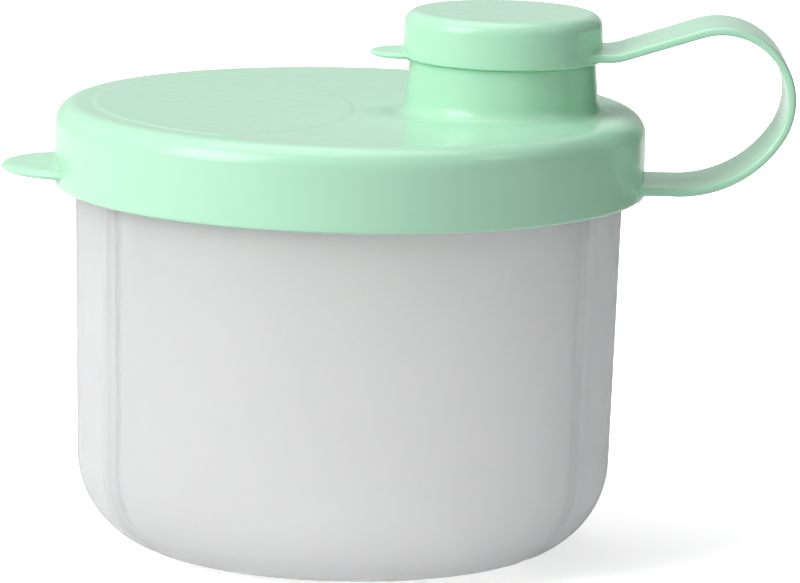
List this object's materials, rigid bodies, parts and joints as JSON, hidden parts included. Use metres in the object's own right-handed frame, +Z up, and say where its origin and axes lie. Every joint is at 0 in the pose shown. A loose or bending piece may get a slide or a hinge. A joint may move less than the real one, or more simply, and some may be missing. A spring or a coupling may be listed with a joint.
{
  "type": "milk powder container",
  "caption": "Round milk powder container: a milky grooved tub with a lift-out divider, and a snap lid with a pull tab and an off-centre pouring spout closed by a cap on a flexible strap.",
  "frame": {"origin": "centre of the tub's flat base, on the axis of the tub", "axes": "+Z up along the axis of the tub, +X towards the spout and the strap loop, -Y towards the viewer of the picture"},
  "size_m": [0.1474, 0.11, 0.1017],
  "materials": {
    "milky_plastic": "satin, milky translucent polypropylene",
    "white_plastic": "satin moulded polypropylene",
    "soft_seal": "soft moulded silicone",
    "mint_plastic": "glossy, soft moulded polyethylene"
  },
  "bodies": {
    "tub": {"tub": "milky_plastic"},
    "divider": {"divider": "white_plastic"},
    "lid_seal": {"lid_seal": "soft_seal"},
    "lid": {"lid": "mint_plastic"},
    "strap_link_1": {"strap_link_1": "mint_plastic"},
    "strap_link_2": {"strap_link_2": "mint_plastic"},
    "strap_link_3": {"strap_link_3": "mint_plastic"},
    "strap_link_4": {"strap_link_4": "mint_plastic"},
    "cap": {"cap": "mint_plastic"}
  },
  "joints": [
    {"name": "lid_lift", "type": "slide", "parent": "tub", "child": "lid_seal", "axis": [0, 0, 1], "range_m": [0, 0.17]},
    {"name": "lid_turn", "type": "hinge", "parent": "lid_seal", "child": "lid", "pos_m": [0, 0, 0.0815], "axis": [0, 0, 1], "continuous": true},
    {"name": "divider_lift", "type": "slide", "parent": "tub", "child": "divider", "axis": [0, 0, 1], "range_m": [0, 0.085]},
    {"name": "cap_open", "type": "hinge", "parent": "lid", "child": "strap_link_1", "pos_m": [0.0715, 0, 0.07251], "axis": [0, 1, 0], "range_deg": [0, 34]},
    {"name": "strap_flex_2", "type": "hinge", "parent": "strap_link_1", "child": "strap_link_2", "pos_m": [0.08107, 0, 0.08362], "axis": [0, 1, 0], "range_deg": [0, 34]},
    {"name": "strap_flex_3", "type": "hinge", "parent": "strap_link_2", "child": "strap_link_3", "pos_m": [0.08071, 0, 0.09146], "axis": [0, 1, 0], "range_deg": [0, 34]},
    {"name": "strap_flex_4", "type": "hinge", "parent": "strap_link_3", "child": "strap_link_4", "pos_m": [0.07591, 0, 0.09766], "axis": [0, 1, 0], "range_deg": [0, 34]},
    {"name": "strap_flex_5", "type": "hinge", "parent": "strap_link_4", "child": "cap", "pos_m": [0.0684, 0, 0.09997], "axis": [0, 1, 0], "range_deg": [0, 34]}
  ],
  "couplings": [
    {"joint": "divider_lift", "follows": "lid_lift", "ratio": 0.5},
    {"joint": "strap_flex_2", "follows": "cap_open", "ratio": 1},
    {"joint": "strap_flex_3", "follows": "cap_open", "ratio": 1},
    {"joint": "strap_flex_4", "follows": "cap_open", "ratio": 1},
    {"joint": "strap_flex_5", "follows": "cap_open", "ratio": 1}
  ]
}
